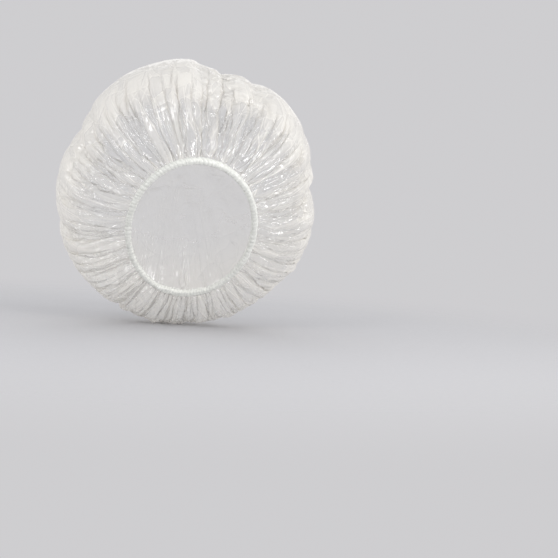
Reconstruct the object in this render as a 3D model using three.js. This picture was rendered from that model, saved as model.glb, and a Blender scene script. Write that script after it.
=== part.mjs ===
// A clear film shower cap with an elastic band, in millimetres, puffed out as it is when it is worn.
// The cap is built standing on its band: +Z points to the crown, -Y to the forehead, +Y to the nape.
// The last group then tips it back, so that the opening looks forward and down, as on a head.
import * as THREE from "three";

// The opening is the film's line inside the band, an oval that follows the hairline.
const openingHalfWidth = 70;
const openingHalfLength = 99;
const bandTiltDegrees = 50;

// The film is a round sheet, gathered on the band and puffed into a bag.
// Its fine gathers are left out of the bag, so its thickness here holds their material as well.
const filmThickness = 0.04;
const bagHalfWidth = 143;
const bagHalfLength = 161;
const bagWidestHeight = 76;
const bagCrownHeight = 161;
const bagNapeShift = 25;
const bagForeheadLift = 24;
const exitRise = 6;
const underRound = 52;
const overRound = 54;
const crownFlatShare = 0.62;
const pleatDepth = 3.4;
const lobeSoftness = 0.6;

// Uneven lobes about the film's widest line: their places round the cap, and how far each stands out.
const lobeDegrees = [
  8, 24, 38, 58, 80, 102, 124, 148, 170, 190, 208, 226, 244, 262, 279, 297, 314, 334, 350,
];
const lobeHeights = [4, 7, 1, 5, -4, 4, -5, 5, 1, 4, -4, 5, 11, 6, -10, -5, 9, 1, -6];
const lobes = lobeDegrees.map((place, lobe) => [place, lobeHeights[lobe]]);

// Where the pleats and the lobes grow and fade on the film's profile, as shares of its rise.
const pleatGrowShares = [0, 0.35];
const pleatFadeShares = [0.8, 1.8];
const lobeGrowShares = [0.2, 0.9];
const lobeFadeShares = [1.1, 1.7];

// The film's main pleats, as the number of steps from each crease to the next, out and in by turns.
const pleatSteps = [
  2, 2, 1, 2, 3, 1, 2, 1, 1, 2, 2, 1, 3, 2, 1, 1, 2, 2, 1, 3, 1, 2, 1, 2, 1, 1, 2, 3,
  2, 1, 2, 1, 1, 2, 1, 2, 3, 2, 1, 1, 2, 1, 2, 2, 1, 3, 1, 2, 2, 1, 3, 1, 2, 1, 2, 3,
];

// The band is a tape folded lengthwise round the film's edge and the elastic, and sewn shut above it.
const seatGap = 0.3;
const tapeThickness = 0.4;
const foldRadius = 1.1;
const shoulderHeight = 0.7;
const lipHeight = 1.4;
const threadDiameter = 0.3;

// The elastic is a flat strip of covered rubber strands, whose two ends lap at the nape.
const strandDiameter = 0.5;
const strandCount = 3;
const jacketWall = 0.3;
const lapLength = 14;
const lapRamp = 12;

// How finely the pieces are drawn.
const bandSteps = pleatSteps.reduce((sum, steps) => sum + steps, 0);
const strandSides = 4;
const foldSteps = 3;
const underRows = 8;
const overRows = 6;

// Angles round the opening's oval.
const FULL_TURN = 2 * Math.PI;
const FULL_TURN_DEGREES = 360;
const NAPE = Math.PI / 2;

// Sizes that follow from the ones above. Offsets are measured outwards from the film in the band,
// and heights from the middle of the band.
const filmSeat = filmThickness / 2 + seatGap;
const jacketThickness = strandDiameter + 2 * (seatGap + jacketWall);
const jacketHeight = strandCount * (strandDiameter + seatGap) + seatGap + 2 * jacketWall;
const jacketOffset = -(filmSeat + jacketThickness / 2);
const tunnelHeight = jacketHeight + 2 * seatGap;
const tunnelBack = -(filmSeat + jacketThickness + seatGap);
const bandHeight = tapeThickness + tunnelHeight + shoulderHeight + lipHeight;
const bandTop = bandHeight / 2;
const tunnelFloor = tapeThickness - bandTop;
const tunnelTop = tunnelFloor + tunnelHeight;
const tunnelMiddle = tunnelFloor + tunnelHeight / 2;
const lipBottom = tunnelTop + shoulderHeight;
const lipMiddle = lipBottom + lipHeight / 2;
const lapShift = jacketThickness + seatGap;
const lapAngle = lapLength / openingHalfWidth;
const rampAngle = lapRamp / openingHalfWidth;

const materials = {
  film: new THREE.MeshStandardMaterial({
    color: 0xf8f7f5,
    roughness: 0.12,
    metalness: 0,
    transparent: true,
    opacity: 0.4,
    side: THREE.DoubleSide,
  }),
  tape: new THREE.MeshStandardMaterial({ color: 0xebede6, roughness: 0.92, metalness: 0 }),
  jacket: new THREE.MeshStandardMaterial({ color: 0xf2f2ee, roughness: 0.85, metalness: 0 }),
  rubber: new THREE.MeshStandardMaterial({ color: 0xd9cfae, roughness: 0.6, metalness: 0 }),
  thread: new THREE.MeshStandardMaterial({ color: 0xfafaf6, roughness: 0.7, metalness: 0 }),
};

// A point beside the opening's oval, so far outwards from it and so high above it.
function besideOval(angle, offset, height) {
  const across = openingHalfLength * Math.cos(angle);
  const along = openingHalfWidth * Math.sin(angle);
  const reach = offset / Math.hypot(across, along);
  return new THREE.Vector3(
    openingHalfWidth * Math.cos(angle) + across * reach,
    openingHalfLength * Math.sin(angle) + along * reach,
    height,
  );
}

function closedGeometry(points, faces) {
  const geometry = new THREE.BufferGeometry();
  const positions = points.flatMap((point) => point.toArray());
  geometry.setAttribute("position", new THREE.Float32BufferAttribute(positions, 3));
  geometry.setIndex(faces.flat());
  geometry.computeVertexNormals();
  return geometry;
}

// The faces between two rings of points of one length, facing out when the rings turn
// anticlockwise and the second one lies above the first.
function facesBetween(lower, upper, sides) {
  return Array.from({ length: sides }, (_, side) => {
    const beside = (side + 1) % sides;
    return [
      [lower + side, lower + beside, upper + beside],
      [lower + side, upper + beside, upper + side],
    ];
  }).flat();
}

// Sweeps a section round the oval. outlineAt gives the section's outline at an angle, anticlockwise,
// as [offset, height] pairs, and boreAt that of a hollow that runs through an open sweep.
function sweepRoundOval(outlineAt, boreAt, start = 0, sweep = FULL_TURN) {
  const closed = sweep === FULL_TURN;
  const rows = closed ? bandSteps : bandSteps + 1;
  const points = [];
  const faces = [];
  const skins = [];
  for (const sectionAt of boreAt ? [outlineAt, boreAt] : [outlineAt]) {
    const first = points.length;
    const outline = sectionAt(start).map((pair) => new THREE.Vector2(...pair));
    const sides = outline.length;
    for (let row = 0; row < rows; row++) {
      const angle = start + (sweep * row) / bandSteps;
      points.push(...sectionAt(angle).map(([offset, height]) => besideOval(angle, offset, height)));
    }
    for (let row = 0; row < bandSteps; row++) {
      const next = (row + 1) % rows;
      const strip = facesBetween(first + next * sides, first + row * sides, sides);
      faces.push(...(sectionAt === boreAt ? strip.map((face) => face.reverse()) : strip));
    }
    skins.push({ first, last: first + (rows - 1) * sides, outline });
  }
  return closedGeometry(points, closed ? faces : [...faces, ...lidFaces(skins)]);
}

// The flat faces that close both ends of an open sweep, round its bore if it has one.
function lidFaces(skins) {
  const [outer, ...bores] = skins.map(({ outline }) => outline);
  const cornersFrom = (end) => skins.flatMap((skin) => skin.outline.map((_, side) => skin[end] + side));
  const [firstCorners, lastCorners] = [cornersFrom("first"), cornersFrom("last")];
  return THREE.ShapeUtils.triangulateShape(outer, bores).flatMap((face) => [
    face.map((corner) => firstCorners[corner]),
    face.map((corner) => lastCorners[corner]).reverse(),
  ]);
}

// A round section as [offset, height] pairs.
function roundSection(offset, height, diameter) {
  return Array.from({ length: strandSides }, (_, side) => {
    const turn = (FULL_TURN * side) / strandSides;
    return [offset + (diameter / 2) * Math.cos(turn), height + (diameter / 2) * Math.sin(turn)];
  });
}

// A rectangular section as [offset, height] pairs.
function flatSection(offset, height, thickness, tall) {
  const cornerShares = [[1, -1], [1, 1], [-1, 1], [-1, -1]];
  return cornerShares.map(([across, up]) => [
    offset + (across * thickness) / 2,
    height + (up * tall) / 2,
  ]);
}

// The film

// The bag's profile from the band's lip to its widest line, and on from there to the crown.
// Its first number runs from 0 at the opening to 1 at the widest line, and back to 0 at the crown.
const underProfile = new THREE.CubicBezierCurve(
  new THREE.Vector2(0, bandTop),
  new THREE.Vector2(0, bandTop + exitRise),
  new THREE.Vector2(1, bagWidestHeight - underRound),
  new THREE.Vector2(1, bagWidestHeight),
);
const overProfile = new THREE.CubicBezierCurve(
  new THREE.Vector2(1, bagWidestHeight),
  new THREE.Vector2(1, bagWidestHeight + overRound),
  new THREE.Vector2(crownFlatShare, bagCrownHeight),
  new THREE.Vector2(0, bagCrownHeight),
);

// A point of the bag without its folds. Its rise runs from 0 at the lip to 1 at the widest line
// and 2 at the crown. The widest line lies higher at the forehead than at the nape.
function bagPoint(rise, angle) {
  const under = rise <= 1;
  const profile = under ? underProfile.getPoint(rise) : overProfile.getPoint(rise - 1);
  const widest = new THREE.Vector3(
    bagHalfWidth * Math.cos(angle),
    bagHalfLength * Math.sin(angle) + bagNapeShift,
    profile.y - bagForeheadLift * Math.sin(angle),
  );
  const inmost = under
    ? besideOval(angle, 0, profile.y)
    : new THREE.Vector3(0, bagNapeShift, profile.y);
  return inmost.lerp(widest, profile.x);
}

// The bag's outward direction at a point between the lip and the crown.
function bagNormal(rise, angle) {
  const nudgeShare = 0.01;
  const round = bagPoint(rise, angle + nudgeShare).sub(bagPoint(rise, angle - nudgeShare));
  const up = bagPoint(rise + nudgeShare, angle).sub(bagPoint(rise - nudgeShare, angle));
  return round.cross(up).normalize();
}

// How far the lobes stand out at an angle.
function lobeHeight(angle) {
  const [firstPlace, firstHeight] = lobes[0];
  const [lastPlace, lastHeight] = lobes[lobes.length - 1];
  const before = [lastPlace - FULL_TURN_DEGREES, lastHeight];
  const after = [firstPlace + FULL_TURN_DEGREES, firstHeight];
  const around = [before, ...lobes, after];
  const degrees = THREE.MathUtils.euclideanModulo(THREE.MathUtils.radToDeg(angle), FULL_TURN_DEGREES);
  const next = around.findIndex(([place]) => place > degrees);
  const [fromPlace, fromHeight] = around[next - 1];
  const [toPlace, toHeight] = around[next];
  const share = (degrees - fromPlace) / (toPlace - fromPlace);
  const eased = THREE.MathUtils.lerp(share, THREE.MathUtils.smoothstep(share, 0, 1), lobeSoftness);
  return THREE.MathUtils.lerp(fromHeight, toHeight, eased);
}

// How far a crease lies out or in, as a share of the pleats' depth. It is deeper beside wide pleats.
function creaseShare(crease) {
  const count = pleatSteps.length;
  const width = (pleatSteps[crease % count] + pleatSteps[(crease + count - 1) % count]) / 2;
  const side = crease % 2 === 0 ? 1 : -1;
  return (side * width * count) / bandSteps;
}

// How far the pleats lie out or in at each step round the cap, straight from crease to crease.
const pleatShares = pleatSteps.flatMap((steps, crease) =>
  Array.from({ length: steps }, (_, step) =>
    THREE.MathUtils.lerp(creaseShare(crease), creaseShare(crease + 1), step / steps),
  ),
);

// How full a form is at a place on the profile: it grows over the first pair of places
// and fades over the second.
function fullness(rise, [growFrom, growTo], [fadeFrom, fadeTo]) {
  return (
    THREE.MathUtils.smoothstep(rise, growFrom, growTo) *
    (1 - THREE.MathUtils.smoothstep(rise, fadeFrom, fadeTo))
  );
}

// One ring of the film. The pleats start at the lip, and the lobes lie about the widest line.
function filmRing(rise) {
  const pleat = pleatDepth * fullness(rise, pleatGrowShares, pleatFadeShares);
  const lobe = fullness(rise, lobeGrowShares, lobeFadeShares);
  return pleatShares.map((pleatShare, step) => {
    const angle = (FULL_TURN * step) / bandSteps;
    const out = pleat * pleatShare + lobe * lobeHeight(angle);
    return bagPoint(rise, angle).addScaledVector(bagNormal(rise, angle), out);
  });
}

// The film's line at a height inside the band.
function filmInBand(height) {
  return Array.from({ length: bandSteps }, (_, step) =>
    besideOval((FULL_TURN * step) / bandSteps, 0, height),
  );
}

// Gives a sheet its thickness. Its rings run from its rim up to its crown point.
function thinShell(rings, crown, thickness) {
  const skin = [...rings.flat(), crown];
  const topRing = (rings.length - 1) * bandSteps;
  const outer = [];
  for (let ring = 0; ring < topRing; ring += bandSteps) {
    outer.push(...facesBetween(ring, ring + bandSteps, bandSteps));
  }
  for (let side = 0; side < bandSteps; side++) {
    outer.push([topRing + side, topRing + ((side + 1) % bandSteps), skin.length - 1]);
  }
  const normals = closedGeometry(skin, outer).getAttribute("normal");
  const lining = skin.map((point, corner) => {
    const normal = new THREE.Vector3().fromBufferAttribute(normals, corner);
    return point.clone().addScaledVector(normal, -thickness);
  });
  const inner = outer.map(([a, b, c]) => [c, b, a].map((corner) => corner + skin.length));
  const rim = facesBetween(skin.length, 0, bandSteps);
  return closedGeometry([...skin, ...lining], [...outer, ...inner, ...rim]);
}

function makeFilm() {
  const rings = [filmInBand(tunnelFloor + seatGap), filmInBand(bandTop)];
  for (let row = 1; row <= underRows; row++) {
    rings.push(filmRing(row / underRows));
  }
  for (let row = 1; row < overRows; row++) {
    rings.push(filmRing(1 + row / overRows));
  }
  return new THREE.Mesh(thinShell(rings, bagPoint(2, 0), filmThickness), materials.film);
}

// The band

// How far the strip has moved inwards, to pass over its own first end at the nape. The move is over
// a quarter of the ramp before the lap.
function stripShift(angle) {
  const lapStart = NAPE + FULL_TURN - lapAngle / 2;
  const moveFrom = lapStart - rampAngle;
  const moveTo = lapStart - rampAngle / 4;
  return lapShift * THREE.MathUtils.smoothstep(angle, moveFrom, moveTo);
}

// How far the tape stands inwards to hold the two lapped ends of the strip.
function tunnelBulge(angle) {
  const turned = THREE.MathUtils.euclideanModulo(angle - NAPE + Math.PI, FULL_TURN);
  const fromNape = Math.abs(turned - Math.PI);
  const full = lapAngle / 2 + rampAngle;
  return lapShift * (1 - THREE.MathUtils.smoothstep(fromNape, full, full + rampAngle));
}

// A rounded fold of the tape, as [offset, height] pairs through a quarter turn.
function foldCorner(offset, height, start) {
  return Array.from({ length: foldSteps }, (_, step) => {
    const turn = start + (Math.PI / 2) * (step / (foldSteps - 1));
    return [offset + foldRadius * Math.cos(turn), height + foldRadius * Math.sin(turn)];
  });
}

// The tape is folded up on both sides of the elastic, and its two edges close on the film.
function tapeOutline(angle) {
  const back = tunnelBack - tunnelBulge(angle);
  const front = filmSeat + tapeThickness;
  return [
    [filmSeat, bandTop],
    [filmSeat, tunnelFloor],
    [back, tunnelFloor],
    [back, tunnelTop],
    [-filmSeat, lipBottom],
    [-filmSeat, bandTop],
    [-front, bandTop],
    [-front, lipBottom],
    [back - tapeThickness, tunnelTop],
    ...foldCorner(back - tapeThickness + foldRadius, foldRadius - bandTop, Math.PI),
    ...foldCorner(front - foldRadius, foldRadius - bandTop, -Math.PI / 2),
    [front, bandTop],
  ];
}

function makeTape() {
  return new THREE.Mesh(sweepRoundOval(tapeOutline), materials.tape);
}

// A piece that runs the whole length of the elastic strip, from end to end.
function makeAlongStrip(outlineAt, boreAt, material) {
  const geometry = sweepRoundOval(outlineAt, boreAt, NAPE - lapAngle / 2, FULL_TURN + lapAngle);
  return new THREE.Mesh(geometry, material);
}

function makeJacket() {
  const sectionAt = (wall) => (angle) =>
    flatSection(
      jacketOffset - stripShift(angle),
      tunnelMiddle,
      jacketThickness - 2 * wall,
      jacketHeight - 2 * wall,
    );
  return makeAlongStrip(sectionAt(0), sectionAt(jacketWall), materials.jacket);
}

function makeStrand(number) {
  const pitch = strandDiameter + seatGap;
  const height = tunnelMiddle + pitch * (number - (strandCount - 1) / 2);
  const outlineAt = (angle) => roundSection(jacketOffset - stripShift(angle), height, strandDiameter);
  return makeAlongStrip(outlineAt, null, materials.rubber);
}

// A line of sewing thread that lies on one face of the lip: 1 is the outer face, -1 the inner one.
function makeThread(face) {
  const offset = face * (filmSeat + tapeThickness + seatGap + threadDiameter / 2);
  const outlineAt = () => roundSection(offset, lipMiddle, threadDiameter);
  return new THREE.Mesh(sweepRoundOval(outlineAt), materials.thread);
}

const root = new THREE.Group();
const cap = new THREE.Group();
cap.rotation.x = -THREE.MathUtils.degToRad(bandTiltDegrees);
root.add(cap);

function addPiece(name, mesh) {
  mesh.name = name;
  cap.add(mesh);
}

addPiece("film_crown", makeFilm());
addPiece("binding_tape", makeTape());
addPiece("elastic_jacket", makeJacket());
for (let number = 0; number < strandCount; number++) {
  addPiece(`rubber_strand_${number + 1}`, makeStrand(number));
}
addPiece("needle_thread", makeThread(1));
addPiece("bobbin_thread", makeThread(-1));

export default root;
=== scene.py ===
"""The looks of a clear film shower cap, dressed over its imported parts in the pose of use."""
import math

import bpy
import numpy as np
from mathutils import Matrix, Vector


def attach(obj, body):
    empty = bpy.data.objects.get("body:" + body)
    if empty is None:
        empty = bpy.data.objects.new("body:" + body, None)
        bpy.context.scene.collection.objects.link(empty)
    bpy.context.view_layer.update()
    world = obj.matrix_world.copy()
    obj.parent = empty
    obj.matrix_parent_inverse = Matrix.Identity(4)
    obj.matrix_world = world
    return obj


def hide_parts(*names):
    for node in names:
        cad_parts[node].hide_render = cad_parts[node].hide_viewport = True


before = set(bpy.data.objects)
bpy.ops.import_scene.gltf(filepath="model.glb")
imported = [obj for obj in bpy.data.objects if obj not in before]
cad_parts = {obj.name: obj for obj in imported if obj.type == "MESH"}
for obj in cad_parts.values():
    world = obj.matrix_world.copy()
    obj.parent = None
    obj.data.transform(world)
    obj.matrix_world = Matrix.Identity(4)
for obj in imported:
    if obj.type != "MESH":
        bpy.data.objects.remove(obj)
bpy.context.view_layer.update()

MM = 0.001
FULL_TURN = 2 * math.pi
QUARTER_TURN = math.pi / 2
FULL_TURN_DEGREES = 360
TINY = 1e-9
SHORTEST_GAP = 1e-6
WHITE = (1, 1, 1, 1)

# The cap's own sizes in millimetres, the same as the solids'. Its own frame stands on the band:
# +Z points to the crown, -Y to the forehead. tipped() turns it into the shared frame.
OPENING_HALF_WIDTH = 70
OPENING_HALF_LENGTH = 99
BAND_TILT = math.radians(50)
NAPE = QUARTER_TURN
BAG_HALF_WIDTH = 143
BAG_HALF_LENGTH = 161
BAG_WIDEST_HEIGHT = 76
BAG_CROWN_HEIGHT = 161
BAG_NAPE_SHIFT = 25
BAG_FOREHEAD_LIFT = 24
EXIT_RISE = 6
UNDER_ROUND = 52
OVER_ROUND = 54
CROWN_FLAT_SHARE = 0.62
FLAT_RADIUS = 310

# The film's lobes, as degrees round the cap and how far out, and its main pleats, as steps from
# each crease to the next. Both are the solids' own, and so are the rises between which they grow
# and fade: 0 is the band's lip, 1 the widest line and 2 the crown.
LOBES = (
    (8, 4), (24, 7), (38, 1), (58, 5), (80, -4), (102, 4), (124, -5), (148, 5), (170, 1), (190, 4),
    (208, -4), (226, 5), (244, 11), (262, 6), (279, -10), (297, -5), (314, 9), (334, 1), (350, -6),
)
LOBE_SOFTNESS = 0.6
LOBE_GROW_RISES = (0.2, 0.9)
LOBE_FADE_RISES = (1.1, 1.7)
PLEAT_DEPTH = 3.4
PLEAT_GROW_RISES = (0, 0.35)
PLEAT_FADE_RISES = (0.8, 1.8)
PLEAT_STEPS = (
    2, 2, 1, 2, 3, 1, 2, 1, 1, 2, 2, 1, 3, 2, 1, 1, 2, 2, 1, 3, 1, 2, 1, 2, 1, 1, 2, 3,
    2, 1, 2, 1, 1, 2, 1, 2, 3, 2, 1, 1, 2, 1, 2, 2, 1, 3, 1, 2, 2, 1, 3, 1, 2, 1, 2, 3,
)

# The band's section, as offsets outwards from the film and heights from the band's middle.
BAND_TOP = 3.2
BAND_BOTTOM = -3.2
SEAT = 0.32
TAPE_THICKNESS = 0.4
TAPE_FRONT = 0.72
TUNNEL_BACK = -2.32
TUNNEL_FLOOR = -2.8
TUNNEL_TOP = 1.1
LIP_BOTTOM = 1.8
LIP_MIDDLE = 2.5
LAP_SHIFT = 2.0
LAP_ANGLE = 14 / OPENING_HALF_WIDTH
RAMP_ANGLE = 12 / OPENING_HALF_WIDTH

# The film's grid. Its columns run from the band to the crown. Its first rows lie in the band.
FILM_SEED = 7
COLUMNS = 720
ROWS = 100
BAND_ROWS = 4
LINE_SAMPLES = 601

# How much of the flat sheet's surplus a row takes up in folds: no more than this at the band, more
# with the square of its share of the way to the crown, and less again where the rows grow calm.
BAND_SPARE = 0.75
SPARE_GROWTH = 48
SPARE_CALMING = 0.78
SPARE_CALMING_SHARES = (0.20, 0.38)
LEAST_SPARE = 0.02

# Families of finer folds: how many there are, and the shares of the way to the crown where they
# start to grow and to fade.
FOLD_FAMILIES = ((104, -0.3, 0.13), (58, 0.06, 0.24), (34, 0.18, 0.30))
FOLD_GROW_SHARE = 0.14
FOLD_FADE_SHARE = 0.16
FOLD_STRENGTH = 0.6
FOLD_MOST_HEIGHT = 7
FOLD_WIDTHS = (0.5, 1.5)
FOLD_DEPTHS = (0.7, 1.15)
DRIFT_REACH = 0.05
DRIFT_WAVES = 3
DRIFT_SLANT = 7

# Crumples: folds that run straight across the flat sheet, each in its own direction.
CRUMPLES = 14
CRUMPLE_LENGTHS = (16, 46)
CRUMPLE_HEIGHT = 1.3
CRUMPLE_GROW_SHARES = (0.10, 0.36)
CRUMPLE_CALMING = 0.7
CRUMPLE_CALMING_SHARES = (0.9, 1)
LIP_SHARES = (0, 0.03)

# How the film settles: how far it may leave the bag, how it swells, and how it bends and slows.
SETTLE_STEPS = 170
PULL_ROUNDS = 2
LINE_STRETCH = 1.03
REACH_SHARES = (0, 0.04, 0.2, 0.5, 1)
REACHES = (0.3, 2.5, 4.5, 4, 5)
REACH_PULL = 0.5
SWELL = 0.0035
SWELL_LOSS = 0.95
SWELL_LOSS_SHARES = (0.40, 0.62)
BENDING = 0.022
KEPT_SPEED = 0.9
MOST_SPEED = 0.5
FIRM_PULL = (1, 0.7)
SLANT_PULL = (0.3, 0.15)

# How many waves stay in each of the last rows, and how many rows span the crown's middle plainly.
CROWN_WAVES = (80, 56, 40, 28, 20, 14, 9)
PLAIN_ROWS = 6

# The film's edge inside the band: how its gathers turn from column to column, and how deep they
# are at the tunnel's floor, its top and the band's top.
EDGE_GATHERS = (0, 1, 0, -1)
EDGE_GATHER_DEPTHS = (0.52, 0.45, 0.2)
EDGE_LEAN_SHARE = 0.4
EDGE_FLOOR_GAP = 0.3

# The soft tape's own shape.
BAND_SEED = 21
BAND_COLUMNS = 900
BAND_ROUND = 0.9
EDGE_BEVEL = 0.12
EDGE_INSET = 0.1
FRONT_CORNER = 1.0
BACK_CORNER = 1.1
CORNER_POINTS = 5
FRONT_POINTS = 8
BACK_POINTS = 5
BACK_LEAN_SHARES = (0.35, 0.7, 1.0)
PUCKERS = 124
PUCKER_WIDTHS = (0.6, 1.4)
PUCKER_DEPTHS = (0.55, 1.0)
PUCKER_DEPTH = 1.2
PUCKER_ROUNDNESS = 0.7
PUCKER_LEAN = 0.006
PUCKER_LOSS_AT_LIP = 0.4
LIP_WAVE = 1.2
BOTTOM_WAVE = 0.4
BOTTOM_WAVE_HEIGHT = 1.2
FELT_DEPTH = 0.4
FELT_BLURS = 2

# How far apart its points lie on the knit, by angle round the cap and from row to row.
CLOTH_RADIUS = 85
CLOTH_STEP = 1.2

# The seam.
STITCHES = 186
STITCH_STEPS = 8
STITCH_SIDES = 6
STITCH_RADIUS = 0.15
STITCH_LIFT = 0.55
STITCH_ROUNDNESS = 0.6

BACKGROUND_GREY = (0.62, 0.615, 0.63)
FLOOR_GREY = (0.55, 0.545, 0.558)
FLOOR_HALF_WIDTH = 1.5
FLOOR_SHIFT = 0.06
WORLD_COLOUR = (0.97, 0.98, 1, 1)
WORLD_LIGHT = 0.8

# Each lamp's name, place, width and height in metres, and watts.
LIGHTS_AIM = (0, 0.04, 0.03)
LIGHTS = (
    ("key", (-0.8, -1.3, 0.9), 0.5, 0.5, 5.5),
    ("fill", (1.1, -1.3, 0.4), 0.5, 0.5, 10.5),
    ("strip_left", (-1.2, -0.4, 0.2), 0.1, 1.2, 2.2),
    ("strip_right", (1.2, -0.5, 0.3), 0.1, 1.2, 3.2),
    ("strip_front", (0.2, -1.2, 1.2), 1.0, 0.1, 2.2),
    ("back", (0.2, 1.3, 0.7), 1.0, 1.0, 2.5),
)

# The photograph's view. The band's middle lies at the named pixel of the square picture.
VIEW_AZIMUTH = math.radians(-5)
VIEW_ELEVATION = math.radians(2)
VIEW_ROLL = math.radians(3.3)
VIEW_DISTANCE = 1.6
PICTURE_PIXELS = 558
PIXEL_MM = 1.1
BAND_MIDDLE_PIXEL = (191.3, 230)
SENSOR_MM = 36


def tipped(points):
    """Turns points of the cap's own frame into the shared frame, in metres."""
    cos, sin = math.cos(BAND_TILT), math.sin(BAND_TILT)
    x, y, z = points[..., 0], points[..., 1], points[..., 2]
    return np.stack([x, y * cos + z * sin, z * cos - y * sin], -1) * MM


def angles_round(count):
    """Angles at even steps round the cap."""
    return np.linspace(0, FULL_TURN, count, endpoint=False)


def smoothstep(value, start, end):
    """A share that runs softly from 0 at the start to 1 at the end."""
    share = np.clip((value - start) / (end - start), 0, 1)
    return share * share * (3 - 2 * share)


def bezier(points, t):
    """Points of a cubic curve with four control points."""
    t = t[..., None]
    a, b, c, d = (np.array(point, float) for point in points)
    return (1 - t) ** 3 * a + 3 * (1 - t) ** 2 * t * b + 3 * (1 - t) * t**2 * c + t**3 * d


def beside_oval(angle, offset, height):
    """Points beside the opening's oval, so far outwards from it and so high above it."""
    across = OPENING_HALF_LENGTH * np.cos(angle)
    along = OPENING_HALF_WIDTH * np.sin(angle)
    reach = offset / np.hypot(across, along)
    x = OPENING_HALF_WIDTH * np.cos(angle) + across * reach
    y = OPENING_HALF_LENGTH * np.sin(angle) + along * reach
    return np.stack([x, y, height + 0 * x], -1)


def bag_points(rise, angle):
    """The smooth bag. Its rise is 0 at the band's lip, 1 at the widest line and 2 at the crown."""
    under = [
        (0, BAND_TOP),
        (0, BAND_TOP + EXIT_RISE),
        (1, BAG_WIDEST_HEIGHT - UNDER_ROUND),
        (1, BAG_WIDEST_HEIGHT),
    ]
    over = [
        (1, BAG_WIDEST_HEIGHT),
        (1, BAG_WIDEST_HEIGHT + OVER_ROUND),
        (CROWN_FLAT_SHARE, BAG_CROWN_HEIGHT),
        (0, BAG_CROWN_HEIGHT),
    ]
    low = (rise <= 1)[..., None]
    profile = np.where(low, bezier(under, np.clip(rise, 0, 1)), bezier(over, np.clip(rise - 1, 0, 1)))
    spread, height = profile[..., 0], profile[..., 1]
    widest = np.stack(
        [
            BAG_HALF_WIDTH * np.cos(angle),
            BAG_HALF_LENGTH * np.sin(angle) + BAG_NAPE_SHIFT,
            height - BAG_FOREHEAD_LIFT * np.sin(angle),
        ],
        -1,
    )
    middle = np.stack([0 * height, 0 * height + BAG_NAPE_SHIFT, height], -1)
    inmost = np.where(low, beside_oval(angle, 0, height), middle)
    return inmost + (widest - inmost) * spread[..., None]


def even_rises(angle, share):
    """The bag's rise at even steps of length along its lines, from the lip towards the crown."""
    fine = np.linspace(0, 2, LINE_SAMPLES)
    lines = bag_points(np.tile(fine, (angle.size, 1)), np.tile(angle[:, None], (1, fine.size)))
    steps = np.linalg.norm(np.diff(lines, axis=1), axis=-1)
    arcs = np.concatenate([np.zeros((angle.size, 1)), np.cumsum(steps, axis=1)], axis=1)
    return np.array([np.interp(share * arc[-1], arc, fine) for arc in arcs])


def fullness(rise, grow, fade):
    """How full a form is: it grows over the first pair of places and fades over the second."""
    return smoothstep(rise, *grow) * (1 - smoothstep(rise, *fade))


def lobe_height(angle):
    """How far the lobes stand out at an angle."""
    first, last = LOBES[0], LOBES[-1]
    before = (last[0] - FULL_TURN_DEGREES, last[1])
    beyond = (first[0] + FULL_TURN_DEGREES, first[1])
    places, heights = np.array([before, *LOBES, beyond], float).T
    degrees = np.degrees(angle) % FULL_TURN_DEGREES
    after = np.searchsorted(places, degrees, side="right")
    share = (degrees - places[after - 1]) / (places[after] - places[after - 1])
    share = share + LOBE_SOFTNESS * (smoothstep(share, 0, 1) - share)
    return heights[after - 1] + share * (heights[after] - heights[after - 1])


def creased(angle, widths, unevenness=1.0):
    """Pleats of given widths round the cap, out and in by turns and straight between creases."""
    places = np.concatenate([[0], np.cumsum(widths)]) / np.sum(widths) * FULL_TURN
    depth = (widths + np.roll(widths, 1)) / 2 / np.mean(widths) * unevenness
    depth[1::2] *= -1
    return np.interp(angle % FULL_TURN, places, np.append(depth, depth[0]))


def outward(points):
    """The outward directions of a grid of columns and rows."""
    around = np.roll(points, -1, 0) - np.roll(points, 1, 0)
    up = np.gradient(points, axis=1)
    normal = np.cross(around, up)
    return normal / np.maximum(np.linalg.norm(normal, axis=-1, keepdims=True), TINY)


def zigzag(rng, folds, angle):
    """Folds of uneven width and depth round the cap."""
    widths = rng.uniform(*FOLD_WIDTHS, 2 * folds)
    unevenness = rng.uniform(*FOLD_DEPTHS, 2 * folds)
    return creased(angle + rng.uniform(0, FULL_TURN), widths, unevenness)


def gathered(perimeter, share):
    """How much longer than the bag's girth each row of the film is."""
    whole = FULL_TURN * FLAT_RADIUS * (1 - share) / perimeter
    spare = np.clip(whole - 1, 0, BAND_SPARE + SPARE_GROWTH * share**2)
    calm = 1 - SPARE_CALMING * smoothstep(share, *SPARE_CALMING_SHARES)
    return 1 + np.maximum(spare * calm, LEAST_SPARE)


def fine_folds(rng, turn, share, perimeter, gather):
    """Folds from the band outwards, fewer and broader from family to family."""
    moves = np.zeros_like(turn)
    for folds, grow, fade in FOLD_FAMILIES:
        # A fold with straight sides is this high if its line is gathered so much.
        height = perimeter / folds / 4 * np.sqrt(gather**2 - 1)
        weight = fullness(share, (grow, grow + FOLD_GROW_SHARE), (fade, fade + FOLD_FADE_SHARE))
        slant = DRIFT_WAVES * turn + DRIFT_SLANT * share
        drift = DRIFT_REACH * np.sin(slant + rng.uniform(0, FULL_TURN))
        pleats = zigzag(rng, folds, turn + drift)
        moves += FOLD_STRENGTH * np.minimum(height, FOLD_MOST_HEIGHT) * weight * pleats
    return moves


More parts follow.
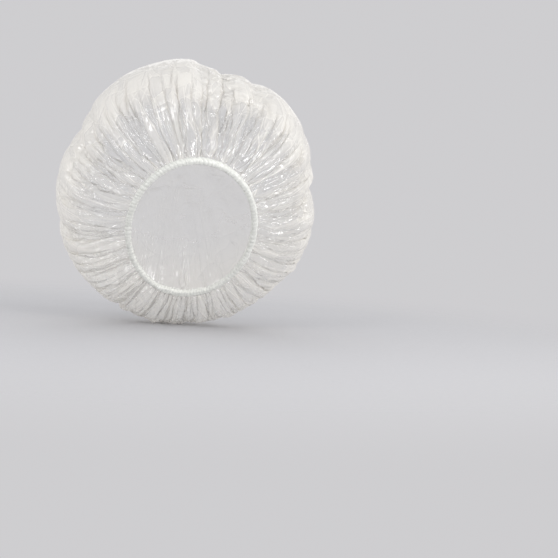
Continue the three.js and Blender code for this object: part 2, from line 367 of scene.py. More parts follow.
def crumples(rng, turn, share):
    """Crumples at the rim and the crown, as straight folds across the flat sheet."""
    flat = FLAT_RADIUS * (1 - share)
    x, y = flat * np.cos(turn), flat * np.sin(turn)
    longest = CRUMPLE_LENGTHS[1]
    crumple = np.zeros_like(turn)
    for _ in range(CRUMPLES):
        heading = rng.uniform(0, FULL_TURN)
        length = rng.uniform(*CRUMPLE_LENGTHS)
        run = (x * math.cos(heading) + y * math.sin(heading)) / length * FULL_TURN
        wave = np.arcsin(np.sin(run + rng.uniform(0, FULL_TURN))) / QUARTER_TURN
        crumple += wave * length / longest
    grown = smoothstep(share, *CRUMPLE_GROW_SHARES)
    calm = 1 - CRUMPLE_CALMING * smoothstep(share, *CRUMPLE_CALMING_SHARES)
    return CRUMPLE_HEIGHT * crumple * grown * calm


def pleated_start(rng):
    """The pleated bag, its outward directions, the film roughly folded on it and its row steps."""
    angle = angles_round(COLUMNS)
    share = np.arange(ROWS) / ROWS
    rise = even_rises(angle, share)
    turn = np.tile(angle[:, None], (1, ROWS))
    bag = bag_points(rise, turn)
    normal = outward(bag)
    lobes = fullness(rise, LOBE_GROW_RISES, LOBE_FADE_RISES) * lobe_height(turn)
    pleats = fullness(rise, PLEAT_GROW_RISES, PLEAT_FADE_RISES) * PLEAT_DEPTH
    pleats = pleats * creased(turn, np.array(PLEAT_STEPS, float))
    smooth = bag + normal * lobes[..., None]
    pleated = bag + normal * (lobes + pleats)[..., None]
    normal = outward(smooth)

    perimeter = np.linalg.norm(np.roll(smooth, -1, 0) - smooth, axis=-1).sum(0)
    gather = gathered(perimeter, share)
    moves = fine_folds(rng, turn, share, perimeter, gather)
    moves += crumples(rng, turn, share)
    moves *= smoothstep(share, *LIP_SHARES)
    return pleated, normal, pleated + normal * moves[..., None], gather * perimeter / COLUMNS


def pull(near, far, rest, near_free, far_free, stretch, squeeze):
    """Moves pairs of points towards their distance in the flat film, in place."""
    gap = far - near
    length = np.sqrt((gap * gap).sum(-1))
    wrong = (length - rest) / np.maximum(length, SHORTEST_GAP)
    share = np.where(wrong > 0, stretch, squeeze) * wrong / np.maximum(near_free + far_free, TINY)
    move = gap * share[..., None]
    near += move * near_free[..., None]
    far -= move * far_free[..., None]


def row_pairs(grid, first):
    """Every second row from the first one, and the row after each."""
    return grid[:, first:-1:2], grid[:, first + 1 :: 2]


def settled_film(base, normal, start, row_steps, steps):
    """Lets the film settle as cloth does: it keeps its lengths, swells a little and bends softly."""
    film = start.copy()
    speed = np.zeros_like(film)
    free = np.ones((COLUMNS, ROWS))
    free[:, 0] = 0
    line_step = FLAT_RADIUS / ROWS * LINE_STRETCH
    slant_steps = np.sqrt(line_step**2 + row_steps[:-1] * row_steps[1:])
    height_share = np.linspace(0, 1, ROWS)
    reach = np.interp(height_share, REACH_SHARES, REACHES)
    swell = SWELL * (1 - SWELL_LOSS * smoothstep(height_share, *SWELL_LOSS_SHARES))[:, None]
    for _ in range(steps):
        before = film.copy()
        film += (KEPT_SPEED * speed + outward(film) * swell) * free[..., None]
        for _ in range(PULL_ROUNDS):
            film = pulled(film, free, row_steps, line_step, slant_steps)
        across = (np.roll(film, 1, 0) + np.roll(film, -1, 0)) / 2 - film
        along = np.zeros_like(film)
        along[:, 1:-1] = (film[:, 2:] + film[:, :-2]) / 2 - film[:, 1:-1]
        film += BENDING * (across + along) * free[..., None]
        away = ((film - base) * normal).sum(-1)
        film -= normal * ((away - np.clip(away, -reach, reach)) * REACH_PULL)[..., None]
        speed = np.clip(film - before, -MOST_SPEED, MOST_SPEED)
    return film


def pulled(film, free, row_steps, line_step, slant_steps):
    """The film after one round of pulls: along its rows, along its lines and across its cells."""
    pull(film[0::2], film[1::2], row_steps, free[0::2], free[1::2], *FIRM_PULL)
    turned, turned_free = np.roll(film, -1, 0), np.roll(free, -1, 0)
    pull(turned[0::2], turned[1::2], row_steps, turned_free[0::2], turned_free[1::2], *FIRM_PULL)
    film = np.roll(turned, 1, 0)
    for first in (0, 1):
        pull(*row_pairs(film, first), line_step, *row_pairs(free, first), *FIRM_PULL)
    for side in (1, -1):
        for first in (0, 1):
            near = row_pairs(film, first)[0]
            near_free = row_pairs(free, first)[0]
            far = row_pairs(np.roll(film, -side, 0), first)[1]
            far_free = row_pairs(np.roll(free, -side, 0), first)[1]
            pull(near, far, slant_steps[first::2], near_free, far_free, *SLANT_PULL)
            film[:, first + 1 :: 2] = np.roll(far, side, 0)
    return film


def calm_crown(film):
    """Evens out the rows near the crown, where the columns meet, and spans its middle plainly."""
    last = ROWS - PLAIN_ROWS
    for row, waves in zip(range(last - len(CROWN_WAVES) + 1, last + 1), CROWN_WAVES):
        spectrum = np.fft.rfft(film[:, row], axis=0)
        spectrum[waves:] = 0
        film[:, row] = np.fft.irfft(spectrum, COLUMNS, axis=0)
    ring = film[:, last]
    middle = ring.mean(0)
    for row in range(last + 1, ROWS):
        film[:, row] = middle + (ring - middle) * (ROWS - row) / (ROWS - last)


def band_rows():
    """The film's edge inside the band, in fine gathers that the tape hides."""
    angle = angles_round(COLUMNS)
    gathers = np.array(EDGE_GATHERS)[np.arange(COLUMNS) % len(EDGE_GATHERS)]
    heights = np.linspace(TUNNEL_FLOOR + EDGE_FLOOR_GAP, BAND_TOP, BAND_ROWS + 1)[:-1]
    depths = np.interp(heights, [TUNNEL_FLOOR, TUNNEL_TOP, BAND_TOP], EDGE_GATHER_DEPTHS)
    rows = [
        beside_oval(angle, depth * EDGE_LEAN_SHARE + depth * gathers, height)
        for height, depth in zip(heights, depths)
    ]
    return np.stack(rows, axis=1)


def mesh_object(name, vertices, faces, smooth=True):
    """A mesh in the scene."""
    mesh = bpy.data.meshes.new(name)
    mesh.from_pydata([tuple(vertex) for vertex in vertices], [], faces)
    mesh.polygons.foreach_set("use_smooth", [smooth] * len(faces))
    piece = bpy.data.objects.new(name, mesh)
    bpy.context.scene.collection.objects.link(piece)
    return piece


def store(piece, name, kind, values):
    """Keeps a value of each point on the mesh, for its material."""
    attribute = piece.data.attributes.new(name, kind, "POINT")
    field = "value" if kind == "FLOAT" else "vector"
    attribute.data.foreach_set(field, np.asarray(values, np.float32).ravel())


def tube_faces(columns, sides, flipped=False):
    """The faces of a closed tube round the cap, whose columns are rings of so many points."""
    faces = []
    for column in range(columns):
        here, beside = column * sides, (column + 1) % columns * sides
        for side in range(sides):
            after = (side + 1) % sides
            corners = (here + side, here + after, beside + after, beside + side)
            faces.append((corners[0], *corners[:0:-1]) if flipped else corners)
    return faces


def make_film():
    """The round sheet of film, gathered on the band and settled over the bag."""
    rng = np.random.default_rng(FILM_SEED)
    base, normal, start, row_steps = pleated_start(rng)
    angle = angles_round(COLUMNS)
    start[:, 0] = beside_oval(angle, 0, BAND_TOP)
    steps = SETTLE_STEPS
    grid = settled_film(base, normal, start, row_steps, steps)
    calm_crown(grid)
    grid = np.concatenate([band_rows(), grid], axis=1)
    rows = grid.shape[1]
    crown = grid[:, -1].mean(0)
    vertices = np.vstack([tipped(grid).reshape(-1, 3), tipped(crown)])
    faces = []
    for column in range(COLUMNS):
        here, beside = column * rows, (column + 1) % COLUMNS * rows
        for row in range(rows - 1):
            faces.append((here + row, beside + row, beside + row + 1, here + row + 1))
        faces.append((here + rows - 1, beside + rows - 1, COLUMNS * rows))
    film = mesh_object("film", vertices, faces)

    # Each point's place on the flat sheet: "polar" is its direction and its share of the way to
    # the crown, and "flat" its place from the sheet's middle, with a radius of 1 at the edge.
    angle = np.repeat(angle[:, None], rows, 1)
    share = np.concatenate([np.zeros(BAND_ROWS), np.arange(ROWS) / ROWS])
    share = np.repeat(share[None, :], COLUMNS, 0)
    polar = np.stack([np.cos(angle), np.sin(angle), share], -1).reshape(-1, 3)
    store(film, "polar", "FLOAT_VECTOR", np.vstack([polar, [[0, 0, 1]]]))
    radius = 1 - share
    flat = np.stack([radius * np.cos(angle), radius * np.sin(angle), 0 * share], -1).reshape(-1, 3)
    store(film, "flat", "FLOAT_VECTOR", np.vstack([flat, [[0, 0, 0]]]))
    return film


def tunnel_bulge(angle):
    """How far the tape stands inwards at the nape, over the elastic's two lapped ends."""
    from_nape = np.abs((angle - NAPE + math.pi) % FULL_TURN - math.pi)
    full = LAP_ANGLE / 2 + RAMP_ANGLE
    return LAP_SHIFT * (1 - smoothstep(from_nape, full, full + RAMP_ANGLE))


def band_swell(height):
    """How far the soft tape swells at a height, most in its middle and nothing at its edges."""
    return BAND_ROUND * (1 - (np.clip(height, BAND_BOTTOM, BAND_TOP) / BAND_TOP) ** 2)


def band_outer(bulge):
    """The tape's outer skin: down its front, round the fold and up its back, as rows round the cap."""
    back = TUNNEL_BACK - bulge - TAPE_THICKNESS
    corner = np.linspace(0, QUARTER_TURN, CORNER_POINTS)
    front_heights = np.linspace(BAND_TOP - EDGE_BEVEL, BAND_BOTTOM + FRONT_CORNER, FRONT_POINTS)
    outer = [(TAPE_FRONT, height) for height in front_heights]
    for t in corner[1:]:
        offset = TAPE_FRONT - FRONT_CORNER + FRONT_CORNER * math.cos(t)
        outer.append((offset, BAND_BOTTOM + FRONT_CORNER - FRONT_CORNER * math.sin(t)))
    for t in corner:
        offset = back + BACK_CORNER - BACK_CORNER * math.sin(t)
        outer.append((offset, BAND_BOTTOM + BACK_CORNER - BACK_CORNER * math.cos(t)))
    for height in np.linspace(BAND_BOTTOM + BACK_CORNER, TUNNEL_TOP, BACK_POINTS)[1:]:
        outer.append((back, height))
    for share in BACK_LEAN_SHARES:
        offset = back + (-TAPE_FRONT - back) * share
        outer.append((offset, TUNNEL_TOP + (LIP_BOTTOM - TUNNEL_TOP) * share))
    outer.append((-TAPE_FRONT, BAND_TOP - EDGE_BEVEL))
    return outer


def band_inner(bulge):
    """The tape's inner skin: down the lip's back half, round the tunnel and up its front half."""
    back = TUNNEL_BACK - bulge
    return [
        (-TAPE_FRONT + EDGE_INSET, BAND_TOP),
        (-SEAT, BAND_TOP),
        (-SEAT, LIP_BOTTOM),
        (back, TUNNEL_TOP),
        (back, TUNNEL_FLOOR),
        (SEAT, TUNNEL_FLOOR),
        (SEAT, BAND_TOP),
        (TAPE_FRONT - EDGE_INSET, BAND_TOP),
    ]


def make_band():
    """The tape, folded lengthwise, softly puckered by the elastic, with its two raw edges up."""
    rng = np.random.default_rng(BAND_SEED)
    angle = angles_round(BAND_COLUMNS)
    bulge = tunnel_bulge(angle)
    outer, inner = band_outer(bulge), band_inner(bulge)
    raw_edges = (len(outer), len(outer) + len(inner) - 1)
    pitch = rng.uniform(*PUCKER_WIDTHS, PUCKERS)
    creases = np.concatenate([[0], np.cumsum(pitch)]) / pitch.sum() * PUCKERS
    depth = rng.uniform(*PUCKER_DEPTHS, PUCKERS + 1)
    felt = rng.normal(size=(BAND_COLUMNS, len(outer)))
    for _ in range(FELT_BLURS):
        felt = (felt + np.roll(felt, 1, 0) + np.roll(felt, -1, 0)) / 3

    rows, dips = [], []
    for index, (offset, height) in enumerate(outer + inner):
        outside = index < len(outer)
        lean = PUCKER_LEAN * (height - BAND_BOTTOM) if outside else 0
        place = (angle + lean) / FULL_TURN * PUCKERS
        phase = np.interp(place, creases, np.arange(PUCKERS + 1))
        pucker = np.minimum(phase.astype(int), PUCKERS - 1)
        bump = np.abs(np.sin(math.pi * phase)) ** PUCKER_ROUNDNESS * depth[pucker]
        if outside:
            face = np.where(offset >= 0, 1.0, -1.0)
            high = smoothstep(height, LIP_BOTTOM, BAND_TOP)
            low = smoothstep(-height, -BAND_BOTTOM - BOTTOM_WAVE_HEIGHT, -BAND_BOTTOM)
            swell = PUCKER_DEPTH * bump * (1 - PUCKER_LOSS_AT_LIP * high)
            swell = swell + band_swell(height) + FELT_DEPTH * felt[:, index]
            offset = offset + face * swell
            height = height + bump * (LIP_WAVE * high - BOTTOM_WAVE * low)
        elif index in raw_edges:
            height = height + LIP_WAVE * bump
        rows.append(beside_oval(angle, offset, height))
        dips.append(1 - bump if outside else 0 * bump)

    grid = np.stack(rows, axis=1)
    sides = grid.shape[1]
    band = mesh_object("band", tipped(grid).reshape(-1, 3), tube_faces(BAND_COLUMNS, sides))
    turn = np.repeat(angle[:, None], sides, 1)
    along = turn * CLOTH_RADIUS * MM
    across = np.broadcast_to(np.arange(sides) * CLOTH_STEP * MM, turn.shape)
    place = np.stack([along, across, 0 * turn], -1)
    store(band, "cloth_place", "FLOAT_VECTOR", place.reshape(-1, 3))
    # Each outer point's dip is highest at a crease between puckers, and the tape's material paints
    # shade by it.
    store(band, "dip", "FLOAT", np.stack(dips, axis=1))
    return band


def make_stitches(name, face):
    """Lockstitch on one face of the lip: each stitch rises out of its hole and dips into the next."""
    columns = STITCHES * STITCH_STEPS
    angle = angles_round(columns)
    lift = np.sin(math.pi * (np.arange(columns) % STITCH_STEPS) / STITCH_STEPS)
    surface = TAPE_FRONT - EDGE_INSET + band_swell(LIP_MIDDLE)
    offset = face * (surface + STITCH_LIFT * lift**STITCH_ROUNDNESS)
    rings = []
    for side in range(STITCH_SIDES):
        turn = FULL_TURN * side / STITCH_SIDES
        outwards = offset + STITCH_RADIUS * math.cos(turn)
        rings.append(beside_oval(angle, outwards, LIP_MIDDLE + STITCH_RADIUS * math.sin(turn)))
    grid = np.stack(rings, axis=1)
    faces = tube_faces(columns, STITCH_SIDES, flipped=True)
    return mesh_object(name, tipped(grid).reshape(-1, 3), faces)


class Nodes:
    """Short calls for a material's nodes."""

    def __init__(self, name):
        self.material = bpy.data.materials.new(name)
        self.material.use_nodes = True
        self.tree = self.material.node_tree
        self.tree.nodes.clear()
        self.output = self.tree.nodes.new("ShaderNodeOutputMaterial")

    def add(self, kind, inputs=None, **settings):
        """A node. A socket given as an input is linked, and anything else is set."""
        node = self.tree.nodes.new("ShaderNode" + kind)
        for key, value in settings.items():
            setattr(node, key, value)
        for key, value in (inputs or {}).items():
            socket = node.inputs[key]
            if isinstance(value, bpy.types.NodeSocket):
                self.tree.links.new(value, socket)
            else:
                socket.default_value = value
        return node

    def math(self, operation, first, second):
        return self.add("Math", {0: first, 1: second}, operation=operation).outputs[0]

    def plus(self, first, second):
        return self.math("ADD", first, second)

    def times(self, first, second):
        return self.math("MULTIPLY", first, second)

    def spread(self, value, span, results, smooth=True):
        """The value's place in the span, turned into the same place between two results."""
        inputs = {"Value": value, "From Min": span[0], "From Max": span[1]}
        inputs |= {"To Min": results[0], "To Max": results[1]}
        kind = "SMOOTHSTEP" if smooth else "LINEAR"
        return self.add("MapRange", inputs, interpolation_type=kind).outputs["Result"]

    def attribute(self, name, output="Vector"):
        return self.add("Attribute", attribute_name=name).outputs[output]

    def spot(self):
        """A place on the object, in metres."""
        return self.add("TexCoord").outputs["Object"]

    def scaled(self, vector, scale):
        return self.add("VectorMath", {0: vector, 1: scale}, operation="MULTIPLY").outputs[0]

    def dimmed(self, colour, strength):
        inputs = {0: colour, "Scale": strength}
        return self.add("VectorMath", inputs, operation="SCALE").outputs[0]

    def noise(self, vector, scale=1.0, detail=3.0, roughness=0.5):
        inputs = {"Vector": vector, "Scale": scale, "Detail": detail, "Roughness": roughness}
        return self.add("TexNoise", inputs).outputs["Fac"]

    def warped(self, vector, scale, reach):
        """The same place, moved unevenly by up to half the reach."""
        inputs = {"Vector": vector, "Scale": scale, "Detail": 0.0}
        noise = self.add("TexNoise", inputs).outputs["Color"]
        inputs = {0: noise, 1: reach, 2: vector}
        return self.add("VectorMath", inputs, operation="MULTIPLY_ADD").outputs[0]

    def edges(self, vector):
        """How far a point is from the nearest edge of uneven cells: flat facets, sharp creases."""
        inputs = {"Vector": vector, "Scale": 1.0}
        return self.add("TexVoronoi", inputs, feature="DISTANCE_TO_EDGE").outputs["Distance"]

    def cell_tone(self, vector):
        """A random tone from 0 to 1 for each of those cells."""
        cells = self.add("TexVoronoi", {"Vector": vector, "Scale": 1.0}, feature="F1")
        return self.add("SeparateXYZ", {0: cells.outputs["Color"]}).outputs["X"]

    def ribs(self, vector, scale, distortion, detail_scale, direction):
        """Slightly uneven parallel ribs."""
        inputs = {"Vector": vector, "Scale": scale, "Distortion": distortion}
        inputs |= {"Detail": 2.0, "Detail Scale": detail_scale}
        wave = self.add("TexWave", inputs, wave_type="BANDS", bands_direction=direction)
        return wave.outputs["Fac"]

    def ramp(self, value, places, dark, light):
        """A colour between two colours, which lie at two places of the value."""
        node = self.add("ValToRGB", {0: value})
        for element, place, colour in zip(node.color_ramp.elements, places, (dark, light)):
            element.position = place
            element.color = (*colour, 1)
        return node.outputs["Color"]

    def bump(self, height, strength, depth_mm, below=None):
        """A relief so many millimetres deep, on top of the one below."""
        inputs = {"Strength": strength, "Distance": depth_mm * MM, "Height": height}
        if below:
            inputs["Normal"] = below
        return self.add("Bump", inputs).outputs["Normal"]

    def finish(self, shader):
        self.tree.links.new(shader, self.output.inputs["Surface"])
        return self.material


# Where the film changes along its line from the band, at 0, to the crown, at 1.
PLEATED_SHARES = (0.20, 0.36)
CRINKLED_SHARES = (0.10, 0.26)
GATHERS_SHARES = (0.0, 0.05)
RIM_SHARES = (0.17, 0.29)
CRINKLES_FADE_SHARES = (0.36, 0.46)
PATCHES_FADE_SHARES = (0.36, 0.50)
CLEAR_CROWN_SHARES = (0.44, 0.68)

# How many facets and streaks there are to a radian round the cap, and to the film's whole line.
LEAN_SCALE = 5.0
LEAN_REACH = (0.03, 0.03, 0.0)
FACET_SCALES = (15, 15, 3.2)
SLIVER_SCALES = (33, 33, 4.5)
STREAK_SCALES = (46, 46, 3)

# How many crinkles there are to the flat sheet's radius.
CRINKLE_BEND_SCALE = 11.0
CRINKLE_BEND_REACH = (0.09, 0.09, 0.0)
CRINKLE_SCALES = (15, 15, 15)
SMALL_CRINKLE_SCALES = (38, 38, 38)

# The film's fine relief in millimetres.
FACET_RELIEF = 2.0
SLIVER_RELIEF = 0.6
STREAK_RELIEF = 0.6
CRINKLE_RELIEF = 3.2
SMALL_CRINKLE_RELIEF = 0.8
MILK_RELIEF_SHARE = 0.35

# How milky the film is, from 0 for clear to 1 for white, and what each form adds or takes away.
EVEN_HAZE = 0.10
GATHERS_HAZE = 0.20
RIM_HAZE = 0.66
CROWN_HAZE = -0.52
FACET_HAZES = (-0.07, 0.26)
FACET_HAZE_TONES = (0.25, 1.0)
THREAD_HAZE = 0.28
THREAD_TONES = (0.50, 0.68)
RIDGE_HAZE = 0.3
RIDGE_WIDTHS = (0.0, 0.03)
CRINKLE_HAZE = 0.16
CRINKLE_WIDTHS = (0.0, 0.05)
PATCH_HAZES = (-0.16, 0.16)
PATCH_FADE = 0.25
LEAST_CRINKLED = 0.25
LEAST_HAZE = 0.03
MOST_HAZE = 0.93

CLEAR_COLOUR = (0.985, 0.987, 0.99, 1)
MILK_COLOUR = (0.985, 0.958, 0.905, 1)
MILK_GLOW_SHARE = 0.46
GLINT_STRENGTH = 1.5
MOST_GLINT = 0.24


def film_relief(n, pleated, crinkled, facets, slivers, streaks, crinkles, small_crinkles):
    """The height of the film's fine relief, in millimetres."""
    pleats = n.plus(n.times(facets, FACET_RELIEF), n.times(slivers, SLIVER_RELIEF))
    pleats = n.plus(n.times(pleats, pleated), n.times(streaks, STREAK_RELIEF))
    crumples = n.times(crinkles, CRINKLE_RELIEF)
    crumples = n.plus(crumples, n.times(small_crinkles, SMALL_CRINKLE_RELIEF))
    return n.plus(pleats, n.times(crumples, crinkled))


def film_haze(n, arc, pleated, crinkled, facets, facet_tone, streaks, crinkles, patch_tone):
    """How milky the film is: most at the gathers and the rim, least between them and on the crown."""
    gathers = n.spread(arc, GATHERS_SHARES, (GATHERS_HAZE, 0.0))
    rim = n.spread(arc, RIM_SHARES, (0.0, RIM_HAZE))
    crown = n.spread(arc, CLEAR_CROWN_SHARES, (0.0, CROWN_HAZE))
    tone = n.times(n.spread(facet_tone, FACET_HAZE_TONES, FACET_HAZES), pleated)
    threads = n.spread(streaks, THREAD_TONES, (0.0, THREAD_HAZE))
    ridges = n.times(n.spread(facets, RIDGE_WIDTHS, (RIDGE_HAZE, 0.0)), pleated)
    folds = n.spread(crinkles, CRINKLE_WIDTHS, (CRINKLE_HAZE, 0.0))
    folds = n.times(folds, n.spread(arc, CRINKLES_FADE_SHARES, (1.0, 0.0)))
    patches = n.spread(patch_tone, (0.0, 1.0), PATCH_HAZES, smooth=False)
    patches = n.times(patches, n.spread(arc, PATCHES_FADE_SHARES, (1.0, PATCH_FADE)))
    folds = n.times(n.plus(folds, patches), crinkled)
    haze = n.plus(n.plus(gathers, rim), n.plus(crown, EVEN_HAZE))
    haze = n.plus(haze, n.plus(tone, threads))
    haze = n.plus(haze, n.plus(ridges, folds))
    return n.add("Clamp", {"Value": haze, "Min": LEAST_HAZE, "Max": MOST_HAZE}).outputs[0]


def film_material():
    """Thin clear film: it passes most light, glints on its creases and is milky in its folds."""
    n = Nodes("clear_film")
    polar = n.attribute("polar")
    arc = n.add("SeparateXYZ", {0: polar}).outputs["Z"]
    pleated = n.spread(arc, PLEATED_SHARES, (1.0, 0.0))
    crinkled = n.spread(arc, CRINKLED_SHARES, (LEAST_CRINKLED, 1.0))

    # Long streaks and narrow facets run from the band.
    leaning = n.warped(polar, LEAN_SCALE, LEAN_REACH)
    facet_cells = n.scaled(leaning, FACET_SCALES)
    facets = n.edges(facet_cells)
    slivers = n.edges(n.scaled(leaning, SLIVER_SCALES))
    streaks = n.noise(n.scaled(leaning, STREAK_SCALES), detail=2.0, roughness=0.6)
    streaks = n.times(streaks, pleated)

    # Angular crinkles lie across the rim and the crown.
    bent = n.warped(n.attribute("flat"), CRINKLE_BEND_SCALE, CRINKLE_BEND_REACH)
    crinkle_cells = n.scaled(bent, CRINKLE_SCALES)
    crinkles = n.edges(crinkle_cells)
    small_crinkles = n.edges(n.scaled(bent, SMALL_CRINKLE_SCALES))

    relief = film_relief(n, pleated, crinkled, facets, slivers, streaks, crinkles, small_crinkles)
    bump = n.bump(relief, 1.0, 1.0)
    even = n.add("NewGeometry").outputs["Normal"]
    mix = {0: MILK_RELIEF_SHARE, 4: even, 5: bump}
    soft_bump = n.add("Mix", mix, data_type="VECTOR").outputs[1]
    facet_tone, patch_tone = n.cell_tone(facet_cells), n.cell_tone(crinkle_cells)
    haze = film_haze(n, arc, pleated, crinkled, facets, facet_tone, streaks, crinkles, patch_tone)

    clear = n.add("BsdfTransparent", {"Color": CLEAR_COLOUR}).outputs[0]
    white = {"Color": MILK_COLOUR, "Normal": soft_bump}
    lit = n.add("BsdfDiffuse", white).outputs[0]
    glow = n.add("BsdfTranslucent", white).outputs[0]
    milk = n.add("MixShader", {0: MILK_GLOW_SHARE, 1: lit, 2: glow}).outputs[0]
    body = n.add("MixShader", {0: haze, 1: clear, 2: milk}).outputs[0]
    gloss = n.add("BsdfGlossy", {"Color": WHITE, "Roughness": 0.1, "Normal": bump}).outputs[0]
    glint = n.add("Fresnel", {"IOR": 1.5, "Normal": bump}).outputs[0]
    glint = n.math("MINIMUM", n.times(glint, GLINT_STRENGTH), MOST_GLINT)
    shader = n.add("MixShader", {0: glint, 1: body, 2: gloss}).outputs[0]
    return n.finish(shader)


# The tape: its grain is counted to the metre, and its relief is in millimetres.
TAPE_SHADED = (0.73, 0.73, 0.688)
TAPE_PALE = (0.93, 0.928, 0.885)
TAPE_LOOPS = (0.62, 0.64, 0.585, 1)
TAPE_TONE_PLACES = (0.3, 0.7)
TAPE_FELT_TONES = (0.86, 1.06)
# Painted shade in the creases between the puckers: the dips over which the tape darkens, and the share
# of its colour left at the creases.
TAPE_CREASE_SHADE_SPAN = (0.25, 0.95)
TAPE_PAINTED_CREASE_SHADE = 0.90
TAPE_LOOP_SPAN = (0.2, 0.75)
TAPE_LOOP_TINT = 0.22


def band_material():
    """Soft matt tape with a fine felted surface, a knit's small ribs and painted shade in the creases
    between its puckers.
    """
    n = Nodes("band_fabric")
    spot = n.spot()
    felt = n.noise(spot, scale=2600.0, detail=4.0, roughness=0.7)
    patches = n.noise(spot, scale=300.0, roughness=0.6)
    tufts = n.noise(spot, scale=950.0, detail=2.0)
    loops = n.add("TexVoronoi", {"Vector": spot, "Scale": 1300.0}, feature="F1").outputs["Distance"]
    ribs = n.ribs(n.attribute("cloth_place"), 260.0, 1.5, 3.0, "X")

    tint = n.ramp(patches, TAPE_TONE_PLACES, TAPE_SHADED, TAPE_PALE)
    fibre = n.spread(felt, TAPE_TONE_PLACES, TAPE_FELT_TONES)
    # Painted shade: darker near the creases between the puckers.
    shade = n.spread(n.attribute("dip", "Fac"), TAPE_CREASE_SHADE_SPAN, (1.0, TAPE_PAINTED_CREASE_SHADE))
    # The colour turns darker and a little greener towards the edges of the loop cells, where their
    # relief is lowest.
    looped = n.spread(loops, TAPE_LOOP_SPAN, (0.0, TAPE_LOOP_TINT))
    colour = n.add("Mix", {6: tint, 7: TAPE_LOOPS, 0: looped}, data_type="RGBA").outputs[2]
    colour = n.dimmed(colour, n.times(fibre, shade))

    bump = n.bump(tufts, 0.8, 0.6)
    bump = n.bump(ribs, 0.5, 0.18, bump)
    bump = n.bump(n.math("SUBTRACT", 1.0, loops), 0.7, 0.2, bump)
    bump = n.bump(felt, 0.5, 0.1, bump)
    look = {
        "Base Color": colour,
        "Roughness": 0.93,
        "Specular IOR Level": 0.25,
        "Sheen Weight": 0.25,
        "Sheen Roughness": 0.5,
        "Normal": bump,
    }
    return n.finish(n.add("BsdfPrincipled", look).outputs[0])


# Twisted fibres: how much finer their fuzz is than their ribs, and what each adds to their tone.
FUZZ_FINENESS = 2.2
RIB_TONE = 0.6
FUZZ_TONE = 0.4
FIBRE_TONE_PLACES = (0.2, 0.7)
FUZZ_SPAN = (0.3, 0.7)


def yarn_material(name, dark, light, scale, rough_from, rough_to):
    """Twisted fibres: fine slanted ribs and a fuzz of lighter and darker threads."""
    n = Nodes(name)
    spot = n.spot()
    ribs = n.ribs(spot, scale, 2.0, 2.0, "DIAGONAL")
    fuzz = n.noise(spot, scale=scale * FUZZ_FINENESS, detail=4.0)
    shade = n.plus(n.times(ribs, RIB_TONE), n.times(fuzz, FUZZ_TONE))
    look = {
        "Base Color": n.ramp(shade, FIBRE_TONE_PLACES, dark, light),
        "Roughness": n.spread(fuzz, FUZZ_SPAN, (rough_from, rough_to)),
        "Sheen Weight": 0.15,
        "Normal": n.bump(shade, 0.6, 0.1),
    }
    return n.finish(n.add("BsdfPrincipled", look).outputs[0])


RUBBER_SHADED = (0.62, 0.55, 0.37)
RUBBER_PALE = (0.74, 0.68, 0.5)
RUBBER_ROUGHNESSES = (0.5, 0.75)
RUBBER_SPAN = (0.3, 0.7)


def rubber_material():
    """Natural latex: cloudy, slightly tacky, with fine talc dust."""
    n = Nodes("rubber_core")
    spot = n.spot()
    cloud = n.noise(spot, scale=300.0)
    dust = n.noise(spot, scale=3200.0)
    look = {
        "Base Color": n.ramp(cloud, RUBBER_SPAN, RUBBER_SHADED, RUBBER_PALE),
        "Roughness": n.spread(dust, RUBBER_SPAN, RUBBER_ROUGHNESSES),
        "Normal": n.bump(dust, 0.4, 0.05),
    }
    return n.finish(n.add("BsdfPrincipled", look).outputs[0])


GRAIN_SPAN = (0.3, 0.7)
GRAIN_TONES = (0.99, 1.01)
FLOOR_FADE_METRES = (0.2, 0.8)


def stage_material():
    """Plain pale grey that keeps the object's soft shadow and fades into the background."""
    n = Nodes("stage_paper")
    spot = n.spot()
    tone = n.spread(n.noise(spot, scale=180.0), GRAIN_SPAN, GRAIN_TONES)
    paper = n.add("BsdfDiffuse", {"Color": n.dimmed(FLOOR_GREY, tone)}).outputs[0]
    away = n.add("VectorMath", {0: spot}, operation="LENGTH").outputs["Value"]
    fade = n.spread(away, FLOOR_FADE_METRES, (0.0, 1.0))
    open_air = n.add("BsdfTransparent", {"Color": WHITE}).outputs[0]
    return n.finish(n.add("MixShader", {0: fade, 1: paper, 2: open_air}).outputs[0])


def make_stage(floor_height):
    """A plain floor under the cap."""
    wide = FLOOR_HALF_WIDTH
    corners = [(-wide, -wide, 0), (wide, -wide, 0), (wide, wide, 0), (-wide, wide, 0)]
    stage = mesh_object("stage_floor", corners, [(0, 1, 2, 3)], smooth=False)
    stage.location = (0, FLOOR_SHIFT, floor_height)
    stage.data.materials.append(stage_material())


def make_light(name, location, width, height, watts):
    """A white area lamp that faces the cap."""
    light = bpy.data.lights.new(name, "AREA")
    light.shape = "RECTANGLE"
    light.size = width
    light.size_y = height
    light.energy = watts
    lamp = bpy.data.objects.new(name, light)
    lamp.location = location
    aim = Vector(LIGHTS_AIM) - Vector(location)
    lamp.rotation_euler = aim.to_track_quat("-Z", "Y").to_euler()
    bpy.context.scene.collection.objects.link(lamp)


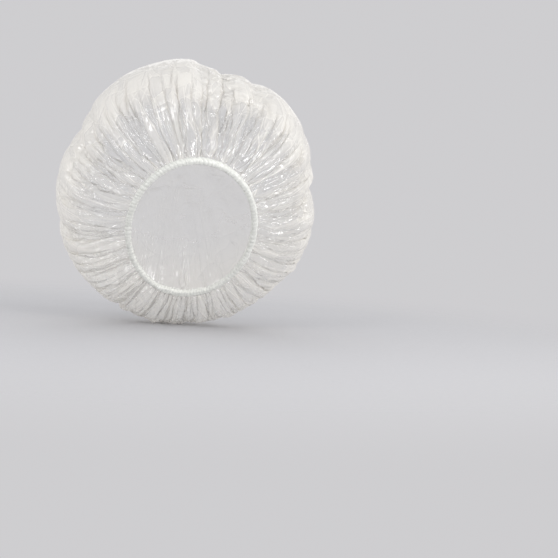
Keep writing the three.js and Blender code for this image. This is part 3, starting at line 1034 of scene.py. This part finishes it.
def make_world():
    """Even white light from all round. The camera, gloss and glass see the plain background."""
    world = bpy.data.worlds.new("studio")
    world.use_nodes = True
    tree = world.node_tree
    tree.nodes.clear()
    add, link = tree.nodes.new, tree.links.new
    path, output = add("ShaderNodeLightPath"), add("ShaderNodeOutputWorld")
    light, seen = add("ShaderNodeBackground"), add("ShaderNodeBackground")
    light.inputs["Color"].default_value = WORLD_COLOUR
    light.inputs["Strength"].default_value = WORLD_LIGHT
    seen.inputs["Color"].default_value = (*BACKGROUND_GREY, 1)
    shown = path.outputs["Is Camera Ray"]
    for ray in ("Is Glossy Ray", "Is Transmission Ray"):
        either = add("ShaderNodeMath")
        either.operation = "MAXIMUM"
        link(shown, either.inputs[0])
        link(path.outputs[ray], either.inputs[1])
        shown = either.outputs[0]
    mix = add("ShaderNodeMixShader")
    link(shown, mix.inputs[0])
    link(light.outputs[0], mix.inputs[1])
    link(seen.outputs[0], mix.inputs[2])
    link(mix.outputs[0], output.inputs["Surface"])
    bpy.context.scene.world = world


def make_camera():
    """The photograph's view: nearly level, a little from the left and slightly rolled."""
    level = math.cos(VIEW_ELEVATION)
    back = Vector(
        (
            math.sin(VIEW_AZIMUTH) * level,
            -math.cos(VIEW_AZIMUTH) * level,
            math.sin(VIEW_ELEVATION),
        )
    )
    data = bpy.data.cameras.new("camera")
    data.sensor_width = SENSOR_MM
    data.lens = data.sensor_width * VIEW_DISTANCE / (PICTURE_PIXELS * PIXEL_MM * MM)
    data.clip_start = 0.05
    data.clip_end = 50
    camera = bpy.data.objects.new("camera", data)
    pixel = data.sensor_width / PICTURE_PIXELS / data.lens
    centre = PICTURE_PIXELS / 2
    right = (BAND_MIDDLE_PIXEL[0] - centre) * pixel
    up = (centre - BAND_MIDDLE_PIXEL[1]) * pixel
    straight = (-back).to_track_quat("-Z", "Y")
    rolled = Matrix.Rotation(VIEW_ROLL, 4, "Z").to_quaternion()
    aim = Vector((right, up, -1)).rotation_difference(Vector((0, 0, -1)))
    camera.rotation_mode = "QUATERNION"
    camera.rotation_quaternion = straight @ rolled @ aim
    camera.location = back * VIEW_DISTANCE
    bpy.context.scene.collection.objects.link(camera)
    bpy.context.scene.camera = camera


make_camera()
make_world()
for lamp_values in LIGHTS:
    make_light(*lamp_values)

film = make_film()
make_stage(min(corner[2] for corner in film.bound_box))
film.data.materials.append(film_material())
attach(film, "root")
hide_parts("film_crown")

band = make_band()
band.data.materials.append(band_material())
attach(band, "root")
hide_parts("binding_tape")

thread = yarn_material("sewing_thread", (0.66, 0.67, 0.62), (0.86, 0.86, 0.82), 2200, 0.62, 0.8)
for name, node, face in (
    ("needle_stitches", "needle_thread", 1),
    ("bobbin_stitches", "bobbin_thread", -1),
):
    stitches = make_stitches(name, face)
    stitches.data.materials.append(thread)
    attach(stitches, "root")
    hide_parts(node)

yarn = yarn_material("elastic_yarn", (0.62, 0.62, 0.59), (0.85, 0.85, 0.83), 1500, 0.72, 0.9)
rubber = rubber_material()
hidden_parts = {
    "elastic_jacket": yarn,
    "rubber_strand_1": rubber,
    "rubber_strand_2": rubber,
    "rubber_strand_3": rubber,
}
for node, material in hidden_parts.items():
    for material_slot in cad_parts[node].material_slots:
        material_slot.material = material

scene = bpy.context.scene
scene.view_settings.view_transform = "Standard"
scene.cycles.transparent_max_bounces = 24
scene.cycles.diffuse_bounces = 4
scene.cycles.max_bounces = 8
scene.cycles.caustics_reflective = False
scene.cycles.caustics_refractive = False
